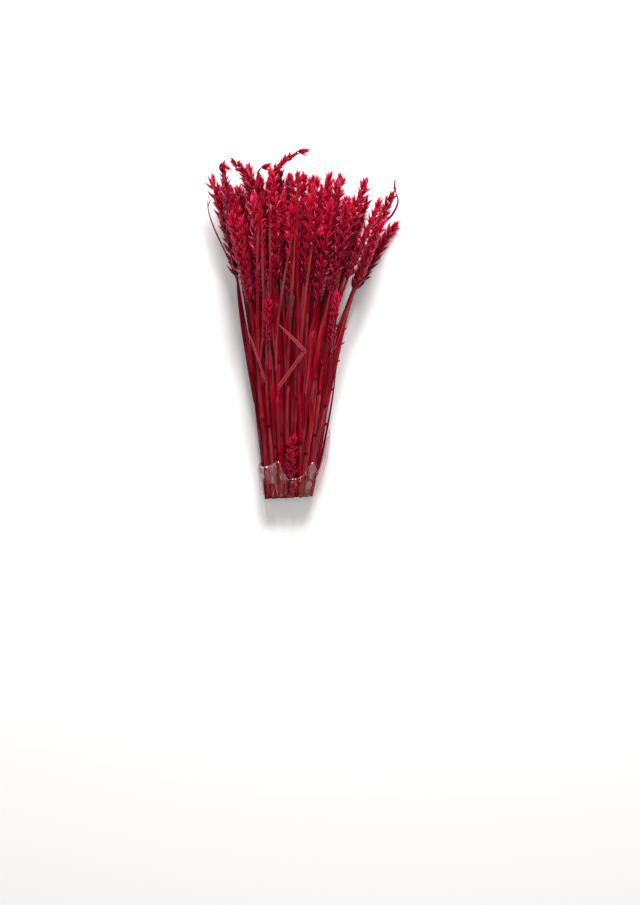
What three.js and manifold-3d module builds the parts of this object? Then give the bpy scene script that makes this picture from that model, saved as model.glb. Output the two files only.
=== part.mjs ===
// A cut bunch of dyed dried wheat, lying on a table, held at its cut ends by a sleeve of clear film.
// Millimetres, +Z up. +Y runs from the cut ends to the ears, +X to the right when seen from above.
// Each stalk is one grown piece: its straw, its ear of spikelets and any dry leaf left on it.
import * as THREE from "three";
import { mergeVertices } from "three/addons/utils/BufferGeometryUtils.js";
import Module from "manifold-3d";

const wasm = await Module();
wasm.setup();

// Straw
const STRAW_RADIUS = 1.6;
const STRAW_STEPS = 6;
const STALK_SIDES = 6;

// Ear: spikelets stand left and right in turn on the rachis, with a bare point at the tip
const EAR_LENGTH = 76;
const EAR_LENGTH_SPREAD = 14;
const SPIKELET_SPACING = 6;
const SPIKELET_REACH = 6.8;
const SHOULDER_REACH = 2.7;
const SPIKELET_HALF_WIDTH = 4.2;
const SPIKELET_LIFT = 8;
const RACHIS_RADIUS = 1.9;
const TIP_RADIUS = 1.2;
const TIP_LENGTH = 7;

// Lanes: the straws lie in rows on top of each other, each row half a lane aside from the next
const ROW_COUNTS = [10, 9, 10, 9, 8];
const LANES_ACROSS = 9;
const CUT_CENTRE_X = -1.5;
const CUT_HALF_WIDTH = 19.2;
const CUT_ROW_PITCH = 3.6;
const CUT_SLOPE_CENTRE = 0.058;
const CUT_SLOPE_HALF_RANGE = 0.145;
const FOOT_CENTRE_X = 6;
const FOOT_HALF_WIDTH = 50;
const FOOT_ROW_PITCH = 12.5;
const FOOT_Y = 198;
const FOOT_DROP_PER_ROW = 7;
const FOOT_DROP_RIGHT = 12;
const FOOT_DROP_FROM = 0.4;
const FOOT_SPREAD_X = 0.5;
const FOOT_SPREAD_Y = 20;
const FOOT_SPREAD_Z = 3.5;
const LEAN_CENTRE = 3;
const LEAN_HALF_RANGE = 17;
const LEAN_SPREAD = 3;
const BEND_SPREAD = 8;

// Dry leaves and loose strands, each fused to one stalk
const LEAF_WIDTH = 3.6;
const LEAF_THICKNESS = 0.8;
const STRAND_WIDTH = 1.3;
const STRAND_THICKNESS = 1.2;
const BLADE_STEPS = 8;

// Film sleeve: a squared oval tube with a flat underside and a loose, uneven upper edge
const FILM_WALL = 0.6;
const FILM_GAP = 0.5;
const FILM_SLACK = 1.6;
const FILM_SIDES = 24;
const FILM_RINGS = 3;
const FILM_CUT_Y = 3;
const FILM_SQUARENESS = 6;
const FILM_SUNK = 1.2;
const FILM_DOME = 3.5;
// Upper edge of the film, every 30 degrees from the right-hand side over the top
const FILM_EDGE_Y = [58, 36, 30, 17, 30, 25, 24, 27, 32, 38, 44, 52];

// The lowest row lies on the film at the cut ends, and its flat ears lie on the table
const LOWEST_STRAW_Z = FILM_WALL + FILM_GAP + STRAW_RADIUS;
const LOWEST_EAR_SIZE = 0.84;
const LOWEST_EAR_Z = SPIKELET_HALF_WIDTH * LOWEST_EAR_SIZE;
const TOP_STRAW_Z = LOWEST_STRAW_Z + CUT_ROW_PITCH * ROW_COUNTS.length;
const TOP_STRAW_SLOPE = 0.24;

const DYED_STRAW = new THREE.MeshStandardMaterial({ color: 0x8a1222, roughness: 0.55, metalness: 0 });
const CLEAR_FILM = new THREE.MeshStandardMaterial({
  color: 0xe9dcdc,
  roughness: 0.12,
  metalness: 0,
  transparent: true,
  opacity: 0.3,
});

const UP = new THREE.Vector3(0, 0, 1);
const vector = (x, y, z) => new THREE.Vector3(x, y, z);
const radians = THREE.MathUtils.degToRad;
const mix = THREE.MathUtils.lerp;

// An even, repeatable draw from -0.5 to 0.5 for stalk k: the fraction of k times the square root of a prime.
const draw = (k, prime) => ((k * Math.sqrt(prime)) % 1) - 0.5;

// Unit vector that leans from +Y towards +X by lean, and climbs towards +Z by climb, both in degrees.
function heading(lean, climb) {
  const level = Math.cos(radians(climb));
  return vector(level * Math.sin(radians(lean)), level * Math.cos(radians(lean)), Math.sin(radians(climb)));
}

// Ears that make the bunch's outline, by row and column. foot is where the ear starts, in x and y.
const OUTLINE_EARS = {
  "0,8": { foot: [43.5, 184], lean: 16, bend: 2, earLength: 66 },
  "0,9": { foot: [55, 176], lean: 27, bend: 8, earLength: 66 },
  "1,5": { foot: [17, 195], lean: 5, bend: -2, earLength: 76 },
  "1,6": { foot: [28, 193], lean: 10, bend: 1, earLength: 76 },
  "1,8": { foot: [54, 178], lean: 22, bend: 2, earLength: 60 },
  "2,0": { foot: [-45, 186], lean: -10, bend: -9, earLength: 85 },
  "2,1": { foot: [-34.6, 188], lean: -10, bend: -4, earLength: 76 },
  "2,2": { foot: [-22.9, 157], lean: -6, bend: 0, earLength: 60 },
  "2,3": { foot: [-19.4, 213], lean: -14, bend: 58, earLength: 84 },
  "2,4": { foot: [1.5, 186], lean: 2, bend: 2, earLength: 74 },
  "2,8": { foot: [46, 188], lean: 16, bend: 2, earLength: 68 },
  "2,9": { foot: [57, 182], lean: 19, bend: 5, earLength: 82 },
  "3,0": { foot: [-40, 196], lean: -16, bend: 10, earLength: 84 },
  "3,1": { foot: [-27.5, 164], lean: -9, bend: -2, earLength: 70 },
  "3,2": { foot: [-21, 221], lean: 1, bend: -46, earLength: 70 },
  "3,7": { foot: [42.5, 189], lean: 13.5, bend: 4, earLength: 79 },
  "3,8": { foot: [54.5, 174], lean: 21, bend: 3, earLength: 62 },
  "4,7": { foot: [48, 182], lean: 22, bend: 2, earLength: 58 },
};

// Short stalks that lie on top of the others, with small ears. Feet stand lift above the uppermost straws.
const SHORT_STALKS = [
  {
    name: "short_stalk_left",
    cut: [-14.5, 0],
    foot: [-19.6, 127],
    lift: 4,
    lean: 0,
    bend: 4,
    earLength: 40,
    size: 0.66,
  },
  {
    name: "short_stalk_right",
    cut: [14.5, 0],
    foot: [35, 121],
    lift: 4,
    lean: 4,
    bend: 2,
    earLength: 52,
    size: 0.72,
  },
  {
    name: "short_stalk_front",
    cut: [1.4, 0],
    foot: [1.6, 14],
    lift: 1.2,
    lean: 0,
    bend: 3,
    earLength: 40,
    size: 0.66,
  },
];

// Straws that have lost their ears, lying in the grooves between the uppermost ears. Points are x, y and z.
const BARE_STRAWS = [
  { name: "bare_straw_right", points: [[9, 0, 20.7], [8, 90, 43], [6.6, 175, 62.5], [6.8, 267, 71]] },
  { name: "bare_straw_middle", points: [[-7.6, 0, 20.7], [-11, 95, 43.6], [-15.6, 175, 62], [-17, 255, 69]] },
  { name: "bare_straw_left", points: [[-18, 0, 20.7], [-25, 90, 43], [-27, 175, 66.6], [-24.6, 241, 74]] },
];

// Leaves and strands by the stalk they grow from. Points are x, y and z.
const BLADES = {
  bare_straw_middle: { on: "straw", from: 0.36, width: LEAF_WIDTH, thickness: LEAF_THICKNESS,
    points: [[-4, 103, 48.5], [12.5, 122, 54.5], [3, 134, 58.5], [-7.6, 144, 60.5]] },
  short_stalk_left: { on: "straw", from: 0.74, width: LEAF_WIDTH, thickness: LEAF_THICKNESS,
    points: [[-21, 104, 51], [-26, 115, 54.5], [-34, 138, 57]] },
  stalk_2_0: { on: "straw", from: 0.985, width: STRAND_WIDTH, thickness: STRAND_THICKNESS,
    points: [[-54, 206, 25], [-65.5, 231, 25.5], [-70, 247, 26.5], [-69, 260, 27.5]] },
  stalk_2_3: { on: "ear", from: 0.94, width: STRAND_WIDTH, thickness: STRAND_THICKNESS,
    points: [[4, 289, 40], [8, 293, 41], [12.5, 292, 42]] },
  stalk_2_9: { on: "ear", from: 0.62, width: STRAND_WIDTH, thickness: STRAND_THICKNESS,
    points: [[86, 238, 40], [91, 249, 42], [89, 267, 43]] },
};

// The plan of the stalk in one lane: where its straw is cut, where its ear starts, and how the ear stands.
function lanePlan(row, column, k) {
  const across = ((column - (ROW_COUNTS[row] - 1) / 2) * 2) / LANES_ACROSS;
  const drop = FOOT_DROP_PER_ROW * row + FOOT_DROP_RIGHT * Math.max(0, across - FOOT_DROP_FROM);
  const usual = {
    foot: [
      FOOT_CENTRE_X + FOOT_HALF_WIDTH * across + FOOT_SPREAD_X * draw(k, 3),
      FOOT_Y - drop + FOOT_SPREAD_Y * draw(k, 2),
    ],
    lean: LEAN_CENTRE + LEAN_HALF_RANGE * across + LEAN_SPREAD * draw(k, 5),
    bend: BEND_SPREAD * draw(k, 7),
    earLength: EAR_LENGTH + EAR_LENGTH_SPREAD * draw(k, 11),
  };
  const plan = { ...usual, ...OUTLINE_EARS[`${row},${column}`] };
  const cutZ = LOWEST_STRAW_Z + CUT_ROW_PITCH * row;
  const footZ = LOWEST_EAR_Z + FOOT_ROW_PITCH * row + (row === 0 ? 0 : FOOT_SPREAD_Z * draw(k, 17));
  const rise = (footZ - cutZ) / plan.foot[1];
  return {
    ...plan,
    name: `stalk_${row}_${column}`,
    size: row === 0 ? LOWEST_EAR_SIZE : 1,
    cut: vector(CUT_CENTRE_X + CUT_HALF_WIDTH * across, 0, cutZ),
    cutHeading: vector(CUT_SLOPE_CENTRE + CUT_SLOPE_HALF_RANGE * across, 1, rise).normalize(),
    foot: vector(...plan.foot, footZ),
    climb: row === 0 ? 0 : THREE.MathUtils.radToDeg(Math.atan(rise)) / 2,
    roll: row === 0 ? 0 : 180 * draw(k, 13),
  };
}

// The plan of a short stalk, which lies level across on the slope of the uppermost row.
function shortPlan({ name, cut, foot, lean, bend, earLength, size, lift }) {
  const footZ = TOP_STRAW_Z + TOP_STRAW_SLOPE * foot[1] + lift;
  return {
    name,
    lean,
    bend,
    earLength,
    size,
    cut: vector(...cut, TOP_STRAW_Z),
    cutHeading: vector((foot[0] - cut[0]) / foot[1], 1, TOP_STRAW_SLOPE).normalize(),
    foot: vector(...foot, footZ),
    climb: THREE.MathUtils.radToDeg(Math.atan(TOP_STRAW_SLOPE)),
    roll: 0,
  };
}

// The straw's line is a cubic from the cut end to the ear's foot. The ear's line bends on from there.
function linesOf(plan) {
  if (plan.points) {
    return { straw: new THREE.CatmullRomCurve3(plan.points.map((point) => vector(...point))) };
  }
  const start = heading(plan.lean, plan.climb);
  const end = heading(plan.lean + plan.bend, plan.climb);
  const third = plan.cut.distanceTo(plan.foot) / 3;
  const middle = plan.foot.clone().addScaledVector(start, plan.earLength / 2);
  const tip = middle.clone().addScaledVector(end, plan.earLength / 2);
  const leaving = plan.cut.clone().addScaledVector(plan.cutHeading, third);
  const arriving = plan.foot.clone().addScaledVector(start, -third);
  return {
    straw: new THREE.CubicBezierCurve3(plan.cut, leaving, arriving, plan.foot),
    ear: new THREE.QuadraticBezierCurve3(plan.foot, middle, tip),
  };
}

// A section of a line: its point, the way on, the way to the right turned by roll, and the third way.
function sectionAt(line, along, roll) {
  const tangent = line.getTangentAt(along);
  const level = new THREE.Vector3().crossVectors(tangent, UP).normalize();
  const side = level.applyAxisAngle(tangent, radians(roll));
  const across = new THREE.Vector3().crossVectors(tangent, side);
  const point = line.getPointAt(along);
  const at = (toSide, toAcross, onward) =>
    point
      .clone()
      .addScaledVector(side, toSide)
      .addScaledVector(across, toAcross)
      .addScaledVector(tangent, onward);
  return at;
}

// Spikelets are smaller at the ear's foot and tip than in its middle.
const spikeletSize = (along) => 0.72 + 0.28 * Math.sin(Math.PI * (0.15 + 0.75 * along));

// A point on the ear's skin. A section has a spikelet's tip on one side and the next one's root on the other.
function earPoint(at, angle, size, tipOnRight) {
  const toSide = Math.cos(angle);
  const toAcross = Math.sin(angle);
  const isKeel = Math.abs(toSide) > 0.9;
  if (toSide > 0 !== tipOnRight) {
    return at(RACHIS_RADIUS * size * toSide, RACHIS_RADIUS * size * toAcross, 0);
  }
  if (isKeel) {
    return at(SPIKELET_REACH * size * Math.sign(toSide), 0, SPIKELET_LIFT * size);
  }
  const shoulder = SHOULDER_REACH * size * Math.sign(toSide);
  return at(shoulder, SPIKELET_HALF_WIDTH * size * Math.sign(toAcross), 0);
}

// A point on a stalk's skin, on the straw up to the ear's foot, then on the ear and its bare point.
function skinPoint(plan, lines, spikelets, ring, angle, radius) {
  const station = ring - STRAW_STEPS;
  if (station <= 0) {
    const reach = radius * STRAW_RADIUS;
    const onStraw = sectionAt(lines.straw, ring / STRAW_STEPS, plan.roll);
    return onStraw(reach * Math.cos(angle), reach * Math.sin(angle), 0);
  }
  const along = station / (spikelets + 1);
  const at = sectionAt(lines.ear, along, plan.roll);
  if (station <= spikelets) {
    return earPoint(at, angle, plan.size * spikeletSize(along), station % 2 === 0);
  }
  const reach = radius * TIP_RADIUS * plan.size;
  return at(reach * Math.cos(angle), reach * Math.sin(angle), TIP_LENGTH * plan.size * (1 - radius));
}

// Sets every corner of a closed cylinder of unit radius by a rule of its ring, its angle and its radius.
function skinned(sides, rings, rule) {
  const skin = new THREE.CylinderGeometry(1, 1, rings, sides, rings);
  const places = skin.getAttribute("position");
  const corner = new THREE.Vector3();
  for (let i = 0; i < places.count; i += 1) {
    corner.fromBufferAttribute(places, i);
    const ring = Math.round(corner.y + rings / 2);
    const placed = rule(ring, Math.atan2(corner.x, corner.z), Math.hypot(corner.x, corner.z));
    places.setXYZ(i, placed.x, placed.y, placed.z);
  }
  return skin;
}

function stalkSkin(plan) {
  const lines = linesOf(plan);
  if (!lines.ear) {
    return skinned(STALK_SIDES, STRAW_STEPS, (...corner) => skinPoint({ roll: 0 }, lines, 0, ...corner));
  }
  const spikelets = Math.round(plan.earLength / (SPIKELET_SPACING * plan.size)) - 1;
  const rings = STRAW_STEPS + spikelets + 1;
  return skinned(STALK_SIDES, rings, (...corner) => skinPoint(plan, lines, spikelets, ...corner));
}

// A flat blade from its stalk's line along its points, level across.
function bladeSkin({ on, from, points, width, thickness }, lines) {
  const root = lines[on].getPointAt(from);
  const line = new THREE.CatmullRomCurve3([root, ...points.map((point) => vector(...point))]);
  return skinned(4, BLADE_STEPS, (ring, angle, radius) => {
    const turned = angle + Math.PI / 4;
    const toSide = (radius * width * Math.SQRT2 * Math.cos(turned)) / 2;
    const toAcross = (radius * thickness * Math.SQRT2 * Math.sin(turned)) / 2;
    return sectionAt(line, ring / BLADE_STEPS, 0)(toSide, toAcross, 0);
  });
}

function solidOf(geometry) {
  const bare = new THREE.BufferGeometry();
  bare.setAttribute("position", geometry.toNonIndexed().getAttribute("position"));
  const welded = mergeVertices(bare, 1e-4);
  const mesh = new wasm.Mesh({
    numProp: 3,
    vertProperties: welded.getAttribute("position").array,
    triVerts: new Uint32Array(welded.getIndex().array),
  });
  return new wasm.Manifold(mesh);
}

function geometryOf(solid) {
  const mesh = solid.getMesh();
  const geometry = new THREE.BufferGeometry();
  geometry.setAttribute("position", new THREE.BufferAttribute(new Float32Array(mesh.vertProperties), 3));
  geometry.setIndex(new THREE.BufferAttribute(new Uint32Array(mesh.triVerts), 1));
  return geometry;
}

function stalk(plan) {
  const blade = BLADES[plan.name];
  let skin = stalkSkin(plan);
  if (blade) {
    skin = geometryOf(solidOf(skin).add(solidOf(bladeSkin(blade, linesOf(plan)))));
  }
  skin.computeVertexNormals();
  const mesh = new THREE.Mesh(skin, DYED_STRAW);
  mesh.name = plan.name;
  return mesh;
}

// Height of the film's upper edge at an angle round it, between the stated ones.
function filmEdge(angle) {
  const place = (((angle / (2 * Math.PI)) % 1) + 1) * FILM_EDGE_Y.length;
  const before = Math.floor(place + 1e-6);
  const count = FILM_EDGE_Y.length;
  return mix(FILM_EDGE_Y[before % count], FILM_EDGE_Y[(before + 1) % count], Math.max(0, place - before));
}

// A point on the film, outside or inside its wall: a squared oval round the straws, flattened underneath.
function filmPoint(angle, ring, wall) {
  const y = mix(FILM_CUT_Y, filmEdge(angle), ring / FILM_RINGS);
  const clear = STRAW_RADIUS + FILM_GAP + FILM_SLACK + wall;
  const left = CUT_CENTRE_X - CUT_HALF_WIDTH + (CUT_SLOPE_CENTRE - CUT_SLOPE_HALF_RANGE) * y - clear;
  const right = CUT_CENTRE_X + CUT_HALF_WIDTH + (CUT_SLOPE_CENTRE + CUT_SLOPE_HALF_RANGE) * y + clear;
  const top = TOP_STRAW_Z + TOP_STRAW_SLOPE * y + clear;
  const floor = FILM_WALL - wall;
  const toX = Math.cos(angle);
  const toZ = Math.sin(angle);
  const power = Math.abs(toX) ** FILM_SQUARENESS + Math.abs(toZ) ** FILM_SQUARENESS;
  const square = power ** (-1 / FILM_SQUARENESS);
  const x = (left + right) / 2 + ((right - left) / 2) * toX * square;
  const middle = (top + floor - FILM_SUNK) / 2;
  const z = Math.max(floor, middle + (top - middle) * toZ * square);
  const dome = toZ > 0 ? FILM_DOME * toZ * Math.exp(-(((x - 1.6) / 9) ** 2)) : 0;
  return vector(x, y, z + dome);
}

function filmSleeve() {
  const profile = [];
  for (let ring = 0; ring <= FILM_RINGS; ring += 1) profile.push(new THREE.Vector2(1, ring));
  for (let ring = FILM_RINGS; ring >= 0; ring -= 1) profile.push(new THREE.Vector2(2, ring));
  profile.push(profile[0].clone());
  const sleeve = new THREE.LatheGeometry(profile, FILM_SIDES);
  const places = sleeve.getAttribute("position");
  const corner = new THREE.Vector3();
  for (let i = 0; i < places.count; i += 1) {
    corner.fromBufferAttribute(places, i);
    const wall = Math.hypot(corner.x, corner.z) > 1.5 ? FILM_WALL : 0;
    const placed = filmPoint(Math.atan2(corner.x, corner.z), corner.y, wall);
    places.setXYZ(i, placed.x, placed.y, placed.z);
  }
  const mesh = new THREE.Mesh(sleeve, CLEAR_FILM);
  mesh.name = "film_sleeve";
  return mesh;
}

const bunch = new THREE.Group();
let k = 0;
ROW_COUNTS.forEach((count, row) => {
  for (let column = 0; column < count; column += 1) {
    k += 1;
    bunch.add(stalk(lanePlan(row, column, k)));
  }
});
SHORT_STALKS.forEach((short) => bunch.add(stalk(shortPlan(short))));
BARE_STRAWS.forEach((straw) => bunch.add(stalk(straw)));
bunch.add(filmSleeve());

// The origin is the middle of the underside of the whole bunch.
const extent = new THREE.Box3().setFromObject(bunch, true);
const middle = extent.getCenter(new THREE.Vector3());
bunch.position.set(-middle.x, -middle.y, -extent.min.z);
bunch.updateMatrixWorld(true);

export default bunch;
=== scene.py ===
"""A cut bunch of dyed dried wheat on a pale floor, its cut ends in a sleeve of clear film, seen from above.

Lengths are millimetres in the bunch's own layout, with y from the cut ends to the ears. They are moved to
the frame, in metres, when a mesh is made. The layout repeats the part's own rule, so that every stalk lies on
its solid.
"""
import bpy
import numpy as np
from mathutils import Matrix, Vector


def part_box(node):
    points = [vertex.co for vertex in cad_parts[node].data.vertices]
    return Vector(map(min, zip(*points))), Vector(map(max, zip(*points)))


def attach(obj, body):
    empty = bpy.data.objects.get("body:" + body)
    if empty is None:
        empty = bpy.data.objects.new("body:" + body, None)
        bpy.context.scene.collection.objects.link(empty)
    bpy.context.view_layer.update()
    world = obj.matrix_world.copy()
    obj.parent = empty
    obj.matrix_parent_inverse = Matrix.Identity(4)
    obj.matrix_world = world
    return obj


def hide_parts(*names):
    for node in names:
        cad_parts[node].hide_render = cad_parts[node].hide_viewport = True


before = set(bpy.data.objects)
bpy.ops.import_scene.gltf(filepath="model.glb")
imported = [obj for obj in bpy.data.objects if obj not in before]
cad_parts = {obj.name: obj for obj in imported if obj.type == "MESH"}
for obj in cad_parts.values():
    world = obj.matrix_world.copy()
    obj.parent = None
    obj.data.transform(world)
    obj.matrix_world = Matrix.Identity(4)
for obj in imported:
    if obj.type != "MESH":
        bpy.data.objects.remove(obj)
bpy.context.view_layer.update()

MM = 0.001
UP = np.array([0.0, 0.0, 1.0])
STRAW_FINISH, CHAFF_FINISH, LEAF_FINISH = 0, 1, 2

# Layout of the bunch, as in the part
STRAW_RADIUS = 1.6
EAR_LENGTH, EAR_LENGTH_SPREAD = 76, 14
SPIKELET_HALF_WIDTH = 4.2
ROW_COUNTS = [10, 9, 10, 9, 8]
LANES_ACROSS = 9
CUT_CENTRE_X, CUT_HALF_WIDTH, CUT_ROW_PITCH = -1.5, 19.2, 3.6
CUT_SLOPE_CENTRE, CUT_SLOPE_HALF_RANGE = 0.058, 0.145
FOOT_CENTRE_X, FOOT_HALF_WIDTH, FOOT_ROW_PITCH = 6, 50, 12.5
FOOT_Y, FOOT_DROP_PER_ROW, FOOT_DROP_RIGHT, FOOT_DROP_FROM = 198, 7, 12, 0.4
FOOT_SPREAD_X, FOOT_SPREAD_Y, FOOT_SPREAD_Z = 0.5, 20, 3.5
LEAN_CENTRE, LEAN_HALF_RANGE, LEAN_SPREAD, BEND_SPREAD, ROLL_SPREAD = 3, 17, 3, 8, 180
FILM_WALL, FILM_GAP, FILM_SLACK, FILM_SQUARENESS = 0.6, 0.5, 1.6, 6
FILM_CUT_Y, FILM_SUNK = 3, 1.2
FILM_DOME, FILM_DOME_X, FILM_DOME_WIDTH = 3.5, 1.6, 9
FILM_EDGE_Y = [58, 36, 30, 17, 30, 25, 24, 27, 32, 38, 44, 52]
FILM_SIDES, FILM_RINGS = 24, 3
LOWEST_STRAW_Z = FILM_WALL + FILM_GAP + STRAW_RADIUS
LOWEST_EAR_SIZE = 0.84
TOP_STRAW_Z = LOWEST_STRAW_Z + CUT_ROW_PITCH * len(ROW_COUNTS)
TOP_STRAW_SLOPE = 0.24

# Fine film: angles round it in degrees and the height of its upper edge there
FINE_EDGE_ANGLES = [0, 25, 47, 56, 66, 77, 93, 102, 109, 124, 150, 180, 210, 240, 270, 300, 330, 360]
FINE_EDGE_Y = [58, 38, 20, 31, 18, 15.5, 15, 21, 31, 26, 25, 24, 27, 32, 38, 44, 52, 58]
FINE_FILM_SIDES, FINE_FILM_RINGS = 144, 26
FINE_FILM_CUT_Y, FILM_THICKNESS = 0.6, 0.12
# How far the film stands off: all over, at its upper edge, by its pleats and ripples, and less at the cut
FILM_PROUD, FILM_OPENING, FILM_PLEAT, FILM_RIPPLE, FILM_DRAWN_IN = 0.35, 0.5, 0.35, 0.15, 1.5
# The film's flap and sharp creases: heights, widths in radians and the creases' angles in degrees
FILM_FLAP, FILM_FLAP_WIDTH = 3.6, 0.32
FILM_CREASES, FILM_CREASE_HEIGHT, FILM_CREASE_WIDTH = [52, 72, 107, 128], 1.3, 0.07

# Ears that make the outline, by row and column: foot x and y, lean, bend and length
OUTLINE_EARS = {
    (0, 8): ((43.5, 184), 16, 2, 66),
    (0, 9): ((55, 176), 27, 8, 66),
    (1, 5): ((17, 195), 5, -2, 76),
    (1, 6): ((28, 193), 10, 1, 76),
    (1, 8): ((54, 178), 22, 2, 60),
    (2, 0): ((-45, 186), -10, -9, 85),
    (2, 1): ((-34.6, 188), -10, -4, 76),
    (2, 2): ((-22.9, 157), -6, 0, 60),
    (2, 3): ((-19.4, 213), -14, 58, 84),
    (2, 4): ((1.5, 186), 2, 2, 74),
    (2, 8): ((46, 188), 16, 2, 68),
    (2, 9): ((57, 182), 19, 5, 82),
    (3, 0): ((-40, 196), -16, 10, 84),
    (3, 1): ((-27.5, 164), -9, -2, 70),
    (3, 2): ((-21, 221), 1, -46, 70),
    (3, 7): ((42.5, 189), 13.5, 4, 79),
    (3, 8): ((54.5, 174), 21, 3, 62),
    (4, 7): ((48, 182), 22, 2, 58),
}
# Short stalks on top: cut x, foot x and y, lift, lean, bend, ear length and size
SHORT_STALKS = {
    "short_stalk_left": (-14.5, (-19.6, 127), 4, 0, 4, 40, 0.66),
    "short_stalk_right": (14.5, (35, 121), 4, 4, 2, 52, 0.72),
    "short_stalk_front": (1.4, (1.6, 14), 1.2, 0, 3, 40, 0.66),
}
SHORT_EAR_ROLL = 40
# Straws that have lost their ears, by points on their line
BARE_STRAWS = {
    "bare_straw_right": [(9, 0, 20.7), (8, 90, 43), (6.6, 175, 62.5), (6.8, 267, 71)],
    "bare_straw_middle": [(-7.6, 0, 20.7), (-11, 95, 43.6), (-15.6, 175, 62), (-17, 255, 69)],
    "bare_straw_left": [(-18, 0, 20.7), (-25, 90, 43), (-27, 175, 66.6), (-24.6, 241, 74)],
}
SHORT_STALK_SEED, BARE_STRAW_SEED = 60, 70

# Fine straw: a hollow culm with two joints, each with a collar and a sheath above it
CULM_FOOT_RADIUS, CULM_TOP_RADIUS, RACHIS_TOP_RADIUS = 1.5, 1.05, 0.5
CULM_HOLLOW_RADIUS, CULM_HOLLOW_DEPTH, CULM_HOLLOW_LIP = 0.95, 6, 0.3
CULM_SIDES, CULM_RING_SPACING = 12, 5.0
CULM_WANDER, CULM_WAVE = 0.55, 17
JOINT_PLACES, JOINT_PLACE_SPREAD = np.array([0.2, 0.58]), 0.11
JOINT_SWELL, JOINT_LENGTH, COLLAR_THICKNESS = 0.4, 1.5, 0.06
JOINT_RINGS, COLLAR_RINGS = np.array([-4, -2, -1, 0, 1, 2, 4]), np.linspace(-1, 1, 7)
SHEATH_THICKNESS, SHEATH_LENGTH, SHEATH_LENGTH_RANGE, SHEATH_SLANT = 0.24, 46, (0.6, 1.2), 1.6
SHEATH_FOOT_RINGS, SHEATH_PLAIN_FROM, SHEATH_PLAIN_RINGS = np.array([0.8, 2, 4]), 8, 8
SHEATH_TONES, BARE_STRAW_TONE = (0.15, 1), 0.5
# Where the straws are cut, along them: in the middle, more for each mm to the right, and how unevenly
CUT_START, CUT_SLANT, CUT_UNEVEN = -0.6, 0.057, 0.9

# Fine ear: spikelets, and the six scales of each, which are florets and two glumes
SPIKELET_PITCH, FIRST_SPIKELET = 4.1, 0.4
SPIKELET_LEAST, SPIKELET_BOW, BOW_START, BOW_RUN = 0.74, 0.26, 0.15, 0.75
SCALE_ANGLES = np.radians([0, 48, 90, 132, 180, 270])
SCALE_RINGS = np.array([0.0, 0.14, 0.34, 0.58, 0.8, 0.94])
SCALE_ROOT = 0.03
SCALE_FAN = np.array([-18, 18, 0, -31, 31, 0])
SCALE_TILT = np.array([22, 22, 14, 25, 25, 3])
SCALE_LENGTH = np.array([10.4, 10.4, 9.6, 7.8, 7.8, 9.4])
SCALE_HALF_WIDTH = np.array([1.7, 1.7, 1.65, 1.55, 1.55, 1.65])
SCALE_BULGE = np.array([1.7, 1.7, 1.7, 1.2, 1.2, 1.6])
SCALE_RISE = np.array([0.6, 0.6, 2.2, 0.0, 0.0, 1.6])
SCALE_OFFSET, BACK_TURN = 0.8, 1.7
# How much the scales differ, in degrees, in millimetres or as shares
FAN_SPREAD, TILT_SPREAD, RISE_SPREAD = 7, 5.5, 0.7
LENGTH_RANGE, WIDTH_RANGE, BULGE_RANGE = (0.78, 1.15), (0.88, 1.1), (0.85, 1.15)
CURL, CURL_SPREAD = 0.05, 0.07
LOOSE_SHARE, LOOSE_TILT = 0.12, (4, 15)
TIP_FAN, TIP_TILT, TIP_TILT_SPREAD = 0.6, 4, 5
# Dye and painted light: an ear's own tone, how it rises along the ear as painted shade at the foot and
# painted light at the tip, the painted light on ears that lie more in shade, and how much scales differ
DYE_RANGE, PAINTED_LIGHT_RISE, PAINTED_LIGHT_EVEN_AT, PAINTED_LIGHT_LIFT, DYE_SPREAD = (0.14, 0.5), 1.15, 0.64, 0.16, 0.2
# Hairs on the scales' tips: their size, and the share of scales that have one, with more near the ear's tip
HAIR_RADIUS, HAIR_LENGTH, HAIR_LENGTH_RANGE = 0.13, 7, (0.4, 1.1)
HAIR_RINGS, HAIR_TONE, HAIR_GRAIN_FROM = np.array([0.0, 0.4, 0.75]), 0.7, 0.7
HAIRED_SHARE, HAIRED_MORE, HAIRED_FROM = 0.05, 0.2, 0.8

# How far short of its line's end an ear's last spikelet sits, where it isn't the usual
LAST_SPIKELET_SHORT = 4
LAST_SPIKELETS = {
    "stalk_0_1": 20, "stalk_0_3": -3, "stalk_0_4": -6, "stalk_0_5": 8, "stalk_0_6": 5, "stalk_0_7": 15,
    "stalk_0_9": 2, "stalk_1_2": -11, "stalk_1_3": -3, "stalk_1_4": -5, "stalk_1_5": 5, "stalk_1_6": 0,
    "stalk_1_7": 14, "stalk_2_3": 3, "stalk_2_4": -9, "stalk_2_9": 6, "stalk_3_0": -1, "stalk_3_2": 0,
    "stalk_3_5": -10, "stalk_3_6": -2, "stalk_4_2": -7, "stalk_4_7": -9, "short_stalk_front": 6,
}
# Ears that thin out to the tip: from where on, and the size of their last spikelets
THIN_FROM = 0.6
THIN_TIPS = {"stalk_3_2": 0.72, "stalk_3_0": 0.6}
# Ears with larger spikelets than the rest, and their size
FULL_EARS = {
    "stalk_0_1": 1.2, "stalk_0_9": 1.25, "stalk_1_1": 1.3, "stalk_1_6": 1.2, "stalk_2_0": 1.24,
    "stalk_3_6": 1.15, "stalk_4_1": 1.3, "short_stalk_front": 1.4, "short_stalk_left": 1.2,
}
# The ear that bows over at its tip: the points its line goes through after its foot
BOWED_EARS = {
    "stalk_2_3": [(-22.5, 238, 31), (-17.5, 264, 32), (-10.5, 279, 33), (-3, 286.4, 34), (3, 288.6, 35)],
}
# Stalks on the right edge. Their ears and the short stalks' ears are painted lighter, as painted light on
# ears that lie more in shade
RIGHT_EDGE = ["stalk_0_9", "stalk_1_8", "stalk_2_9", "stalk_3_8", "stalk_4_7"]
PAINTED_LIGHT_EARS = [*RIGHT_EDGE, *SHORT_STALKS]

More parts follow.
